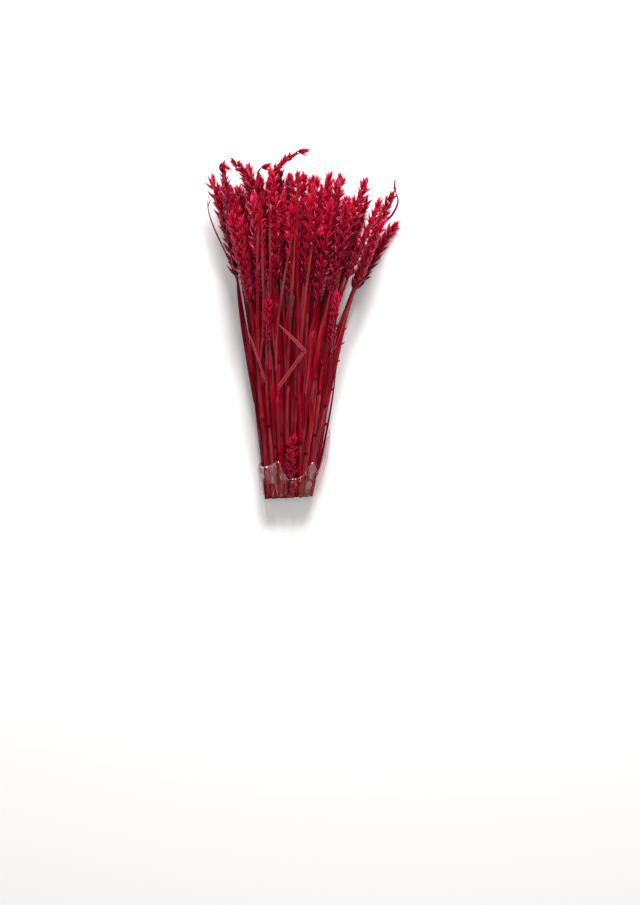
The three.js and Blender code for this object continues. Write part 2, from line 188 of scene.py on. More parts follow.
# Dry leaves: where on the stalk's straw each starts, its half width and its points
LEAVES = {
    "bare_straw_middle": (
        0.36, 1.4, [(11.6, 121.4, 54), (12.8, 123, 54.6), (11.4, 124.6, 55.2), (-8.6, 144.6, 60.5)],
    ),
    "short_stalk_left": (0.74, 0.9, [(-26, 115, 54.5), (-34, 138, 57)]),
}
LEAF_FORM = {"half_thickness": 0.2, "fold": 0.9, "taper": 8, "finish": LEAF_FINISH}
# Loose strands and curls: the stalk, its straw, its ear or the strand before, where on it each starts, its
# half width, its tone, the length of the spikelet at its end, and its points
STRANDS = [
    ("stalk_2_0", "straw", 0.985, 0.7, 0.6, 0,
     [(-54, 206, 25), (-65.5, 231, 25.5), (-70, 247, 26.5), (-69, 260, 27.5)]),
    ("stalk_2_0", "strand", 0.84, 0.45, 0.9, 0, [(-68.6, 250.6, 27), (-66.6, 254, 27.6)]),
    ("stalk_2_9", "ear", 0.62, 1.0, 0.62, 4, [(86, 238, 42), (91.2, 249.6, 45), (88.6, 258.6, 47)]),
    ("stalk_2_9", "strand", 0.97, 0.8, 0.7, 0, [(88.4, 263, 47), (88.8, 268.6, 47)]),
    ("stalk_4_3", "straw", 0.6, 1.3, 0.85, 0,
     [(-1.4, 112, 45), (-0.2, 135, 54), (3.2, 187, 71.5), (4.9, 223, 74.5)]),
    ("bare_straw_left", "straw", 0.45, 1.2, 0.85, 0, [(-22, 141, 59.5), (-22.4, 198.6, 72), (-23, 240, 75)]),
    ("bare_straw_middle", "straw", 0.42, 1.3, 0.95, 0, [(-10.6, 140, 57), (-6, 172, 68), (2.6, 219.5, 74.2)]),
    ("bare_straw_right", "straw", 0.42, 1.3, 0.9, 10.5,
     [(10.2, 140, 56.5), (15.6, 185, 70), (20.4, 214, 74), (22.8, 218, 74.6)]),
    ("stalk_2_3", "ear", 0.96, 1.0, 0.6, 11,
     [(3.4, 289, 37), (5.4, 291.4, 38.5), (7, 292.5, 39.5), (8.2, 292.6, 40)]),
    ("stalk_3_0", "ear", 0.93, 1.0, 0.6, 9,
     [(-58.4, 276.4, 50), (-58.2, 279, 51), (-56.8, 280, 51.5), (-55.4, 279.2, 52)]),
    ("stalk_3_2", "ear", 0.6, 1.0, 0.6, 11,
     [(-27.8, 269, 37), (-26.2, 275.8, 39), (-24, 278.4, 41), (-22.8, 278.8, 42)]),
]
STRAND_ROUNDNESS = 0.75
# The spikelet at a strand's end: each scale's fan, its length, half width, bulge and curl as shares of the
# spikelet's length, and its tone
END_SPIKELET_SUNK = 0.6
END_SCALE_FAN = np.radians([[-5], [6], [34]])
END_SCALE_SHARES = np.array([[1.0, 0.92, 0.8], [0.17, 0.16, 0.12], [0.17, 0.16, 0.12], [-0.05, -0.08, -0.1]])
END_SCALE_TONES = np.array([0.9, 0.7, 0.6])
# Dry sheath strips beside each straw: side, and the ranges where on the straw each starts and ends
STRIPS = [(1, (0.0, 0.3), (0.6, 0.98)), (-1, (0.3, 0.5), (0.92, 1.0))]
STRIP_HALF_WIDTH, STRIP_WIDTH_RANGE, STRIP_HALF_THICKNESS, STRIP_FOLD = 1.35, (0.75, 1.2), 0.3, 0.45
STRIP_OFFSET_FOOT, STRIP_OFFSET_TOP, STRIP_OFFSET_RANGE, STRIP_LIFT = 1.5, 2.9, (0.7, 1.1), (-0.6, 0.8)
STRIP_LINE_POINTS, STRIP_STEPS = 30, 24
RIGHT_EDGE_OFFSET, RIGHT_EDGE_STRIP_WIDTH = 1.2, 0.6
BLADE_SIDES, BLADE_STEPS, BLADE_TAPER, BLADE_NARROWING = 8, 50, 5, 0.8
# Flakes of chaff caught on straws: where along them, leans in radians, how far beside and above them, and the
# flakes' length, half width, bulge and curl
FLAKED_STALKS = ["stalk_2_9", "stalk_3_8", "stalk_4_7", "short_stalk_front"]
FLAKE_COUNT, FLAKE_PLACES, FLAKE_LEANS = 5, (0.3, 0.85), (0.3, 0.9)
FLAKE_BESIDE, FLAKE_ABOVE = 1.2, 0.8
FLAKE_SIZES, FLAKE_SIZE_RANGE, FLAKE_TONES = np.array([[4.6], [0.95], [0.7], [0.4]]), (0.7, 1.2), (0.2, 0.8)

# Patterns on straw: width, length and detail of its fibres, its fine lines and its worn patches. Fibres and
# lines are drawn coarser than real ones, so that they show
STRAW_PATTERNS = [(1.3, 40, 3.0), (0.3, 12, 1.0), (6, 40, 2.0)]
# Turns the tone into a distance, so that straws of different tones don't share a pattern
STRAWS_APART = 50
# Veins on chaff and leaf: their width and length, and how far it is round and along a scale or round a leaf
CHAFF_VEIN_WIDTH, CHAFF_VEIN_LENGTH, CHAFF_GIRTH, CHAFF_LENGTH = 0.35, 6.25, 8.4, 10
LEAF_VEIN_WIDTH, LEAF_VEIN_LENGTH, LEAF_GIRTH = 0.29, 20, 7.54
# Chaff's keel and its edges' distance from it, as shares round a scale, and how strong the painted highlight
# along its margins is
CHAFF_KEEL_AT, CHAFF_EDGE_FROM_KEEL, CHAFF_MARGIN_HIGHLIGHT = 1 / 3, 1 / 3, 0.5
# Patterns on film: sizes of its soft creases and of its flat facets, and the facets' slant in radians
FILM_CREASE_SIZE, FILM_FACET_SIZE, FILM_FACET_SLANT = (14, 20, 30), (9, 15, 30), 0.5


def draw(k, prime):
    """An even, repeatable draw from -0.5 to 0.5: the fraction of k times the square root of a prime."""
    return (k * np.sqrt(prime)) % 1 - 0.5


def unit(vectors):
    """The vectors at length one."""
    return vectors / np.linalg.norm(vectors, axis=-1, keepdims=True)


def heading(lean, climb):
    """Unit vector that leans from +Y to +X by lean and climbs by climb, in degrees."""
    lean, climb = np.radians(lean), np.radians(climb)
    return np.array([np.cos(climb) * np.sin(lean), np.cos(climb) * np.cos(lean), np.sin(climb)])


def bezier(*controls, count=160):
    """Points on the Bezier curve of the controls, by mixing neighbouring controls until one is left."""
    t = np.linspace(0, 1, count)[:, None]
    points = [np.asarray(control, float) for control in controls]
    while len(points) > 1:
        points = [a + (b - a) * t for a, b in zip(points, points[1:])]
    return points[0]


def smooth_through(points, count=48):
    """Points on a cubic through the points, whose slopes go by the root of the distance between them."""
    p = np.array(points, float)
    p = np.vstack([2 * p[0] - p[1], p, 2 * p[-1] - p[-2]])
    gap = np.linalg.norm(np.diff(p, axis=0), axis=1)[:, None] ** 0.5
    slope = np.diff(p, axis=0) / gap
    wide = (p[2:] - p[:-2]) / (gap[1:] + gap[:-1])
    leave = (slope[:-2] - wide[:-1] + slope[1:-1]) * gap[1:-1]
    arrive = (slope[1:-1] - wide[1:] + slope[2:]) * gap[1:-1]
    t = np.linspace(0, 1, count, endpoint=False)[:, None, None]
    ease = t * t * (3 - 2 * t)
    spans = p[1:-2] * (1 - ease) + p[2:-1] * ease + leave * t * (1 - t) ** 2 - arrive * t * t * (1 - t)
    return np.vstack([spans.transpose(1, 0, 2).reshape(-1, 3), p[-2]])


def straight_through(points, spacing=0.8):
    """Points every so often on the straight runs between the points."""
    p = np.array(points, float)
    distance = np.concatenate([[0.0], np.cumsum(np.linalg.norm(np.diff(p, axis=0), axis=1))])
    along = np.linspace(0, distance[-1], int(distance[-1] / spacing))
    return np.stack([np.interp(along, distance, column) for column in p.T], -1)


class Line:
    """A line through close points, read by distance along it."""

    def __init__(self, points):
        steps = np.linalg.norm(np.diff(points, axis=0), axis=1)
        self.distance = np.concatenate([[0.0], np.cumsum(steps)])
        self.points = points
        self.tangents = unit(np.gradient(points, self.distance, axis=0))
        self.length = self.distance[-1]

    def at(self, distance):
        """Points and unit tangents at the distances, straight on past both ends."""
        table = np.hstack([self.points, self.tangents])
        read = np.stack([np.interp(distance, self.distance, column) for column in table.T], axis=-1)
        tangent = unit(read[..., 3:])
        beyond = (distance - np.clip(distance, 0, self.length))[..., None]
        return read[..., :3] + tangent * beyond, tangent


def section_ways(tangent, roll):
    """The two ways across the tangent: to its right, turned about it by roll degrees, and square to both."""
    level = unit(np.cross(tangent, UP))
    third = np.cross(tangent, level)
    angle = np.radians(roll)
    side = level * np.cos(angle) + third * np.sin(angle)
    return side, np.cross(tangent, side)


class Stalk:
    """One stalk's lines: its straw's, its ear's if it has one, and the ear's roll and size."""

    def __init__(self, name, straw, ear=None, roll=0.0, size=1.0, seed=0):
        self.name = name
        self.lines = {"straw": Line(straw)}
        if ear is not None:
            self.lines["ear"] = Line(ear)
        self.roll = roll
        self.size = size
        self.seed = seed
        self.chance = np.random.default_rng(seed)


def eared_stalk(name, cut, cut_heading, foot, lean, bend, ear_length, climb, roll, size, seed):
    """The straw is a cubic from the cut to the ear's foot, and the ear bends on from there as a quadratic."""
    start, end = heading(lean, climb), heading(lean + bend, climb)
    third = np.linalg.norm(foot - cut) / 3
    middle = foot + start * ear_length / 2
    straw = bezier(cut, cut + cut_heading * third, foot - start * third, foot)
    ear = bezier(foot, middle, middle + end * ear_length / 2)
    if name in BOWED_EARS:
        ear = smooth_through([foot, *BOWED_EARS[name]])
    return Stalk(name, straw, ear, roll, size, seed)


def lane_stalk(row, column, k):
    """The stalk in one lane of one row, by how far across the lane is and by its own even draws."""
    across = (column - (ROW_COUNTS[row] - 1) / 2) * 2 / LANES_ACROSS
    drop = FOOT_DROP_PER_ROW * row + FOOT_DROP_RIGHT * max(0, across - FOOT_DROP_FROM)
    usual_foot = (
        FOOT_CENTRE_X + FOOT_HALF_WIDTH * across + FOOT_SPREAD_X * draw(k, 3),
        FOOT_Y - drop + FOOT_SPREAD_Y * draw(k, 2),
    )
    usual_lean = LEAN_CENTRE + LEAN_HALF_RANGE * across + LEAN_SPREAD * draw(k, 5)
    usual = (usual_foot, usual_lean, BEND_SPREAD * draw(k, 7), EAR_LENGTH + EAR_LENGTH_SPREAD * draw(k, 11))
    foot, lean, bend, ear_length = OUTLINE_EARS.get((row, column), usual)
    lowest = row == 0
    cut_z = LOWEST_STRAW_Z + CUT_ROW_PITCH * row
    foot_z = SPIKELET_HALF_WIDTH * LOWEST_EAR_SIZE + FOOT_ROW_PITCH * row
    foot_z += 0 if lowest else FOOT_SPREAD_Z * draw(k, 17)
    rise = (foot_z - cut_z) / foot[1]
    return eared_stalk(
        name=f"stalk_{row}_{column}",
        cut=np.array([CUT_CENTRE_X + CUT_HALF_WIDTH * across, 0, cut_z]),
        cut_heading=unit(np.array([CUT_SLOPE_CENTRE + CUT_SLOPE_HALF_RANGE * across, 1, rise])),
        foot=np.array([*foot, foot_z]),
        lean=lean,
        bend=bend,
        ear_length=ear_length,
        climb=0 if lowest else np.degrees(np.arctan(rise)) / 2,
        roll=0 if lowest else ROLL_SPREAD * draw(k, 13),
        size=LOWEST_EAR_SIZE if lowest else 1.0,
        seed=k,
    )


def short_stalk(name, seed):
    """A short stalk, which lies level across on the slope of the uppermost row."""
    cut_x, foot, lift, lean, bend, ear_length, size = SHORT_STALKS[name]
    return eared_stalk(
        name=name,
        cut=np.array([cut_x, 0, TOP_STRAW_Z]),
        cut_heading=unit(np.array([(foot[0] - cut_x) / foot[1], 1, TOP_STRAW_SLOPE])),
        foot=np.array([*foot, TOP_STRAW_Z + TOP_STRAW_SLOPE * foot[1] + lift]),
        lean=lean,
        bend=bend,
        ear_length=ear_length,
        climb=np.degrees(np.arctan(TOP_STRAW_SLOPE)),
        roll=SHORT_EAR_ROLL,
        size=size,
        seed=seed,
    )


def add_object(name, data):
    """Puts a mesh, a light or a camera in the scene."""
    added = bpy.data.objects.new(name, data)
    bpy.context.scene.collection.objects.link(added)
    return added


class Skins:
    """Closed skins that are gathered into one mesh. Each is a stack of rings between two end points."""

    def __init__(self):
        self.vertices, self.faces, self.grain, self.tone, self.finish = [], [], [], [], []
        self.count = 0

    def add(self, rings, first, last, along, tone, finish, girth=1.0):
        """Adds N skins: rings is N by R by V points, first and last are N points, along is N by R, tone is N.

        A quad joins each pair of neighbours in a ring to the same pair in the next ring, and triangles close
        the ends. The grain map runs girth round the ring and along its length.
        """
        bodies, stack, sides, _ = rings.shape
        size = stack * sides + 2
        start = self.count + size * np.arange(bodies)[:, None, None]
        here = np.arange(sides)
        following = (here + 1) % sides
        level = 1 + sides * np.arange(stack - 1)[:, None]
        above = level + sides
        quads = np.stack([level + here, level + following, above + following, above + here], -1)
        top = 1 + sides * (stack - 1)
        foot_fan = np.stack([np.zeros_like(here), 1 + following, 1 + here], -1)
        tip_fan = np.stack([np.full_like(here, size - 1), top + here, top + following], -1)
        turn, next_turn = here / sides * girth, (here + 1) / sides * girth
        low, high = along[:, :-1, None] + 0 * here, along[:, 1:, None] + 0 * here
        around = [value + 0 * low for value in (turn, next_turn, next_turn, turn)]
        quad_grain = np.stack([np.stack(around, -1), np.stack([low, low, high, high], -1)], -1)
        fan_around = np.broadcast_to(np.stack([turn, next_turn, turn], -1), (bodies, sides, 3))
        self.vertices.append(np.concatenate([first[:, None], rings.reshape(bodies, -1, 3), last[:, None]], 1))
        self.tone.append(np.repeat(tone, size))
        for corners, grain in (
            (quads.reshape(-1, 4), quad_grain.reshape(-1, 4, 2)),
            (foot_fan, np.stack([fan_around, along[:, :1, None] + 0 * fan_around], -1)),
            (tip_fan, np.stack([fan_around, along[:, -1:, None] + 0 * fan_around], -1)),
        ):
            self.faces.append((start + corners).reshape(-1, corners.shape[-1]))
            self.grain.append(grain.reshape(-1, 2))
            self.finish.append(np.full(bodies * len(corners), finish))
        self.count += bodies * size

    def press_flat(self):
        """Presses what would hang below the table flat on it: a height of 1 - d mm becomes e to the -d."""
        for vertices in self.vertices:
            depth = np.minimum(vertices[..., 2] - 1.0, 0)
            vertices[..., 2] = np.where(depth < 0, np.exp(depth), vertices[..., 2])

    def piece(self, name, node, slot, finishes):
        """Makes the mesh in the frame, lets it ride with the bunch and stand for its solid."""
        vertices = (np.concatenate([v.reshape(-1, 3) for v in self.vertices]) + layout_shift) * MM
        corners = np.concatenate([face.ravel() for face in self.faces])
        sizes = np.concatenate([np.full(len(face), face.shape[1]) for face in self.faces])
        mesh = bpy.data.meshes.new(name)
        mesh.vertices.add(len(vertices))
        mesh.vertices.foreach_set("co", vertices.ravel())
        mesh.loops.add(len(corners))
        mesh.loops.foreach_set("vertex_index", corners.astype(np.int32))
        mesh.polygons.add(len(sizes))
        mesh.polygons.foreach_set("loop_start", (np.cumsum(sizes) - sizes).astype(np.int32))
        mesh.polygons.foreach_set("material_index", np.concatenate(self.finish).astype(np.int32))
        mesh.polygons.foreach_set("use_smooth", np.ones(len(sizes), bool))
        mesh.uv_layers.new(name="grain").uv.foreach_set("vector", np.concatenate(self.grain).ravel())
        mesh.attributes.new("tone", "FLOAT", "POINT").data.foreach_set("value", np.concatenate(self.tone))
        mesh.update(calc_edges=True)
        piece = add_object(name, mesh)
        for finish in finishes:
            mesh.materials.append(finish)
        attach(piece, "root")
        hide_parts(node)


def add_culm(skins, stalk):
    """The straw as a hollow tube that swells at its joints by bell curves and runs on as the ear's rachis.

    Each joint has a dark collar, and a sheath round the straw above it, cut off at a slant that grows with
    the eighth power of the way up. All are rings round one line, which wanders by a sine wave between the
    straw's ends.
    """
    straw, ear, chance = stalk.lines["straw"], stalk.lines.get("ear"), stalk.chance
    whole = Line(np.vstack([straw.points, ear.points[1:]])) if ear else straw
    length = whole.length - (max(LAST_SPIKELETS.get(stalk.name, LAST_SPIKELET_SHORT), 0) if ear else 0)
    place_spread = chance.uniform(-JOINT_PLACE_SPREAD, JOINT_PLACE_SPREAD, 2)
    joints = straw.length * (JOINT_PLACES + place_spread)
    sheath_ends = joints + SHEATH_LENGTH * chance.uniform(*SHEATH_LENGTH_RANGE, 2)
    phase = chance.uniform(0, 2 * np.pi, 2)
    tone = chance.uniform(0, 1, 1) if ear else np.array([BARE_STRAW_TONE])
    angle = 2 * np.pi * np.arange(CULM_SIDES) / CULM_SIDES
    girth = 2 * np.pi * STRAW_RADIUS * MM

    def culm_radius(distance):
        share = np.clip(distance / straw.length, 0, 1)
        beyond = np.clip((distance - straw.length) / max(length - straw.length, 1), 0, 1)
        swell = JOINT_SWELL * np.exp(-(((distance[:, None] - joints) / JOINT_LENGTH) ** 2)).sum(1)
        taper = (CULM_TOP_RADIUS - CULM_FOOT_RADIUS) * share + (RACHIS_TOP_RADIUS - CULM_TOP_RADIUS) * beyond
        return CULM_FOOT_RADIUS + taper + swell

    def add_tube(distance, radius, tone, slant=0.0):
        centre, tangent = whole.at(distance)
        side, across = section_ways(tangent, stalk.roll)
        share = np.clip(distance / straw.length, 0, 1)[:, None]
        wander = CULM_WANDER * np.sin(np.pi * share) * np.sin(distance[:, None] / CULM_WAVE + phase)
        centre = centre + side * wander[:, :1] + across * wander[:, 1:]
        spokes = side[:, None] * np.cos(angle)[:, None] + across[:, None] * np.sin(angle)[:, None]
        rings = centre[:, None] + radius[:, None, None] * spokes
        upward = np.linspace(0, 1, len(distance))[:, None] ** 8 * slant * np.cos(angle + phase[0])
        rings = rings + tangent[:, None] * upward[..., None]
        skins.add(rings[None], centre[:1], centre[-1:], distance[None] * MM, tone, STRAW_FINISH, girth)

    near_joints = (joints[:, None] + JOINT_RINGS).ravel()
    start = CUT_START + CUT_SLANT * straw.points[0, 0] + CUT_UNEVEN * draw(stalk.seed, 19)
    distance = np.concatenate([np.arange(start, length - 1, CULM_RING_SPACING), near_joints, [length]])
    distance = np.unique(np.clip(distance, start, length))
    hollow = start + np.array([CULM_HOLLOW_DEPTH, CULM_HOLLOW_LIP])
    radius = np.concatenate([np.full(2, CULM_HOLLOW_RADIUS), culm_radius(distance)])
    add_tube(np.concatenate([hollow, distance]), radius, tone)
    for joint, end in zip(joints, sheath_ends):
        distance = joint + COLLAR_RINGS * JOINT_LENGTH
        add_tube(distance, culm_radius(distance) + COLLAR_THICKNESS, np.zeros(1))
        plain = np.linspace(joint + SHEATH_PLAIN_FROM, end, SHEATH_PLAIN_RINGS)
        distance = np.concatenate([joint + SHEATH_FOOT_RINGS, plain])
        radius = culm_radius(distance) + SHEATH_THICKNESS
        add_tube(distance, radius, chance.uniform(*SHEATH_TONES, 1), SHEATH_SLANT)


def scale_form():
    """A chaff scale of unit length: a boat with a keeled back, a shallow inside and a pointed tip.

    Half its width goes as (1 - u) to 1.1 times the root of u + 0.08, its back rises by the same curve with a
    keel, and its inside is 0.35 as deep. u runs from the root to the tip.
    """
    u = SCALE_RINGS[:, None]
    breadth = (1 - u) ** 1.1 * np.sqrt(u + 0.08)
    breadth = breadth / breadth.max()
    back = np.sin(SCALE_ANGLES)
    depth = np.where(back > 0, back * (0.85 + 0.15 * back**8), 0.35 * back)
    return u, breadth * np.cos(SCALE_ANGLES), breadth * depth


def add_scales(skins, root, axis, back, length, half_width, bulge, curl, tone):
    """Adds scales by their roots, axes, the ways their backs look, their measures and their tones.

    Each is the scale form with its length on the axis, its depth on the back and its width on the third way,
    bent outwards by curl times u squared.
    """
    back = unit(back - axis * (back * axis).sum(-1, keepdims=True))
    root, axis, back = (way.reshape(-1, 1, 1, 3) for way in (root, axis, back))
    measures = (length, half_width, bulge, curl)
    length, half_width, bulge, curl = (measure.reshape(-1, 1, 1, 1) for measure in measures)
    u, wide, deep = (form[..., None] for form in scale_form())
    outward = back * (curl * u**2 + bulge * deep)
    rings = root + axis * length * u + outward + np.cross(back, axis) * half_width * wide
    tip = (root + axis * length + back * curl)[:, 0, 0]
    foot = (root - axis * length * SCALE_ROOT)[:, 0, 0]
    grain = np.broadcast_to(u[:, 0, 0], (len(rings), len(u)))
    skins.add(rings, foot, tip, grain, tone.ravel(), CHAFF_FINISH)
    return tip


def add_hairs(skins, root, axis, length):
    """Adds hairs by their roots, axes and lengths: three-sided spines that narrow to nothing."""
    share = HAIR_RINGS[:, None, None]
    level = unit(np.cross(axis, UP + 0.01))
    angle = 2 * np.pi * np.arange(3)[:, None] / 3
    spokes = level[:, None] * np.cos(angle) + np.cross(axis, level)[:, None] * np.sin(angle)
    reach = (axis * length[:, None])[:, None, None] * share
    rings = root[:, None, None] + reach + HAIR_RADIUS * (1 - share) * spokes[:, None]
    grain = np.broadcast_to(HAIR_GRAIN_FROM + (1 - HAIR_GRAIN_FROM) * share[:, 0, 0], rings.shape[:2])
    tone = np.full(len(root), HAIR_TONE)
    skins.add(rings, root, root + axis * length[:, None], grain, tone, CHAFF_FINISH)


def add_ear(skins, stalk):
    """Spikelets left and right in turn along the rachis, each a fan of florets between two glumes.

    The last one sits crosswise at the tip. A scale's axis tilts out from the rachis and fans across it, and
    its back looks out and sideways. Spikelets swell to the middle of the ear by a part of a sine wave. Their
    colour is painted darker towards the ear's foot, as shade, and lighter towards its tip, as light.
    """
    ear, chance = stalk.lines["ear"], stalk.chance
    reach = ear.length - LAST_SPIKELETS.get(stalk.name, LAST_SPIKELET_SHORT)
    even = np.linspace(0, 1, 101)
    thinned = np.clip((even - THIN_FROM) / (1 - THIN_FROM), 0, 1)
    thin = 1 - (1 - THIN_TIPS.get(stalk.name, 1.0)) * thinned
    bow = SPIKELET_LEAST + SPIKELET_BOW * np.sin(np.pi * (BOW_START + BOW_RUN * even))
    sizes = stalk.size * FULL_EARS.get(stalk.name, 1.0) * thin * bow
    pitches = np.concatenate([[0.0], np.cumsum(even[1] * reach / (SPIKELET_PITCH * sizes[1:]))])
    count = int(round(pitches[-1]))
    order = np.arange(count + 1)
    along = np.interp(np.minimum(order + FIRST_SPIKELET, count), pitches * count / pitches[-1], even)
    size = np.interp(along, even, sizes)[:, None]
    point, tangent = ear.at(along * reach)
    side, across = section_ways(tangent, stalk.roll)
    side[-1], across[-1] = across[-1].copy(), -side[-1].copy()
    turn = np.where(order % 2, 1.0, -1.0)[:, None, None]
    shape = (count + 1, len(SCALE_FAN))
    loose = chance.uniform(0, 1, shape) < LOOSE_SHARE
    fan = SCALE_FAN + chance.normal(0, FAN_SPREAD, shape)
    fan[-1] *= TIP_FAN
    fan = np.radians(fan)[..., None]
    tilt = SCALE_TILT + chance.normal(0, TILT_SPREAD, shape) + loose * chance.uniform(*LOOSE_TILT, shape)
    tilt[-1] = chance.normal(TIP_TILT, TIP_TILT_SPREAD, shape[1])
    tilt = np.radians(tilt)[..., None]
    out, across, tangent = side[:, None] * turn, across[:, None], tangent[:, None]
    axis = unit(np.sin(tilt) * out + np.cos(tilt) * (np.cos(fan) * tangent + np.sin(fan) * across))
    back = out * np.cos(BACK_TURN * fan) + across * np.sin(BACK_TURN * fan)
    rise = SCALE_RISE * size + chance.normal(0, RISE_SPREAD, shape)
    root = point[:, None] + out * SCALE_OFFSET + tangent * rise[..., None]
    length = SCALE_LENGTH * size * chance.uniform(*LENGTH_RANGE, shape)
    half_width = SCALE_HALF_WIDTH * size * chance.uniform(*WIDTH_RANGE, shape)
    bulge = SCALE_BULGE * size * chance.uniform(*BULGE_RANGE, shape)
    curl = chance.normal(CURL, CURL_SPREAD, shape) * length
    # The ear's own dye, with painted shade towards its foot, painted light towards its tip, and painted light
    # on ears that lie more in shade
    dye_and_painted_light = chance.uniform(*DYE_RANGE) + PAINTED_LIGHT_RISE * (along[:, None] - PAINTED_LIGHT_EVEN_AT)
    dye_and_painted_light = dye_and_painted_light + PAINTED_LIGHT_LIFT * (stalk.name in PAINTED_LIGHT_EARS)
    tone = np.clip(dye_and_painted_light + chance.normal(0, DYE_SPREAD, shape), 0, 1)
    tip = add_scales(skins, root, axis, back, length, half_width, bulge, curl, tone)
    haired_share = HAIRED_SHARE + HAIRED_MORE * (along > HAIRED_FROM)[:, None]
    haired = chance.uniform(0, 1, shape) < haired_share
    lengths = HAIR_LENGTH * chance.uniform(*HAIR_LENGTH_RANGE, shape)[haired]
    add_hairs(skins, tip[haired.ravel()], axis[haired], lengths)


def add_end_spikelet(skins, line, length):
    """A last spikelet at the end of a curl: three scales that fan from its end, level with the table."""
    point, tangent = line.at(np.full(len(END_SCALE_FAN), line.length - END_SPIKELET_SUNK))
    level = unit(np.cross(tangent, UP))
    axis = tangent * np.cos(END_SCALE_FAN) + level * np.sin(END_SCALE_FAN)
    back = np.broadcast_to(UP, axis.shape) + level * END_SCALE_FAN
    add_scales(skins, point, axis, back, *(length * END_SCALE_SHARES), END_SCALE_TONES)


def add_flakes(skins, stalk):
    """Flakes of chaff caught along the straw, each a small scale that leans off it."""
    straw, chance = stalk.lines["straw"], stalk.chance
    point, tangent = straw.at(straw.length * chance.uniform(*FLAKE_PLACES, FLAKE_COUNT))
    side, across = section_ways(tangent, 0)
    way = chance.choice([-1.0, 1.0], (FLAKE_COUNT, 1))
    lean = chance.uniform(*FLAKE_LEANS, (FLAKE_COUNT, 1))
    axis = unit(tangent * np.cos(lean) + side * way * np.sin(lean))
    root = point + side * way * FLAKE_BESIDE - across * FLAKE_ABOVE
    sizes = chance.uniform(*FLAKE_SIZE_RANGE, FLAKE_COUNT) * FLAKE_SIZES
    add_scales(skins, root, axis, -across, *sizes, chance.uniform(*FLAKE_TONES, FLAKE_COUNT))


def add_blade(
    skins, line, half_width, half_thickness,
    fold=0.0, tone=0.0, taper=BLADE_TAPER, steps=BLADE_STEPS, finish=STRAW_FINISH,
):
    """A dry leaf, strip or strand: a flat oval carried along its line and folded up to both edges.

    It narrows towards its tip by the share along it to the power of taper.
    """
    share = np.linspace(0, 1, steps)
    centre, tangent = line.at(share * line.length)
    side, across = section_ways(tangent, 0)
    angle = 2 * np.pi * np.arange(BLADE_SIDES) / BLADE_SIDES
    flat = half_width * (1 - BLADE_NARROWING * share**taper)[:, None] * np.cos(angle)
    deep = half_thickness * np.sin(angle) - fold * np.abs(flat)
    rings = centre[:, None] + side[:, None] * flat[..., None] + across[:, None] * deep[..., None]
    along = (share * line.length * MM)[None]
    girth = 1.0 if finish == LEAF_FINISH else 4 * half_width * MM
    skins.add(rings[None], centre[:1], centre[-1:], along, np.array([tone]), finish, girth)


def add_strips(skins, stalk, at_right):
    """Strips of dry sheath that run beside the straw for part of its length.

    They lie further off where the straws spread, and come back to them at both ends by the root of a sine.
    """
    straw, chance = stalk.lines["straw"], stalk.chance
    for way, starts, ends in STRIPS:
        start = chance.uniform(*starts)
        end = chance.uniform(*ends)
        share = np.linspace(start, end, STRIP_LINE_POINTS)[:, None]
        centre, tangent = straw.at(share[:, 0] * straw.length)
        side, _ = section_ways(tangent, 0)
        rise = np.sin(np.pi * (share - share[0]) / (share[-1] - share[0])) ** 0.5
        offset = STRIP_OFFSET_FOOT + (STRIP_OFFSET_TOP - STRIP_OFFSET_FOOT) * share
        offset = offset * chance.uniform(*STRIP_OFFSET_RANGE) + RIGHT_EDGE_OFFSET * (at_right and way == 1)
        line = Line(centre + (side * way * offset + UP * chance.uniform(*STRIP_LIFT)) * rise)
        half_width = STRIP_HALF_WIDTH * chance.uniform(*STRIP_WIDTH_RANGE)
        half_width = half_width * (RIGHT_EDGE_STRIP_WIDTH if at_right else 1)
        fold = STRIP_FOLD * chance.uniform(-1, 1)
        tone = chance.uniform(0, 1)
        add_blade(skins, line, half_width, STRIP_HALF_THICKNESS, fold, tone, steps=STRIP_STEPS)


def film_layer(angle, y, proud):
    """The film's surface: a squared oval round the straws, flattened underneath and domed on top.

    The sixth powers of its two shares across add up to one, and the dome is a bell curve of x. Its size
    follows y, and proud is how far it stands out from the gap round the straws.
    """
    clear = STRAW_RADIUS + FILM_GAP + FILM_SLACK + proud
    left = CUT_CENTRE_X - CUT_HALF_WIDTH + (CUT_SLOPE_CENTRE - CUT_SLOPE_HALF_RANGE) * y - clear
    right = CUT_CENTRE_X + CUT_HALF_WIDTH + (CUT_SLOPE_CENTRE + CUT_SLOPE_HALF_RANGE) * y + clear
    top = TOP_STRAW_Z + TOP_STRAW_SLOPE * y + clear
    floor = FILM_WALL - np.minimum(proud, FILM_WALL)
    to_x, to_z = np.cos(angle), np.sin(angle)
    square = (np.abs(to_x) ** FILM_SQUARENESS + np.abs(to_z) ** FILM_SQUARENESS) ** (-1 / FILM_SQUARENESS)
    x = (left + right) / 2 + (right - left) / 2 * to_x * square
    middle = (top + floor - FILM_SUNK) / 2
    z = np.maximum(floor, middle + (top - middle) * to_z * square)
    dome = np.maximum(to_z, 0) * FILM_DOME * np.exp(-(((x - FILM_DOME_X) / FILM_DOME_WIDTH) ** 2))
    return np.stack([x, y, z + dome], -1)


def film_shift():
    """From the layout to the frame: the film's own corner there, less its corner here."""
    angle = 2 * np.pi * np.arange(FILM_SIDES)[:, None] / FILM_SIDES
    knots = np.linspace(0, 2 * np.pi, len(FILM_EDGE_Y) + 1)
    edge = np.interp(angle, knots, FILM_EDGE_Y + FILM_EDGE_Y[:1])
    y = FILM_CUT_Y + (edge - FILM_CUT_Y) * np.arange(FILM_RINGS + 1) / FILM_RINGS
    corners = film_layer(angle, y, np.full((1, 1), FILM_WALL))
    return np.array(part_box("film_sleeve")[0]) / MM - corners.reshape(-1, 3).min(0)


layout_shift = film_shift()


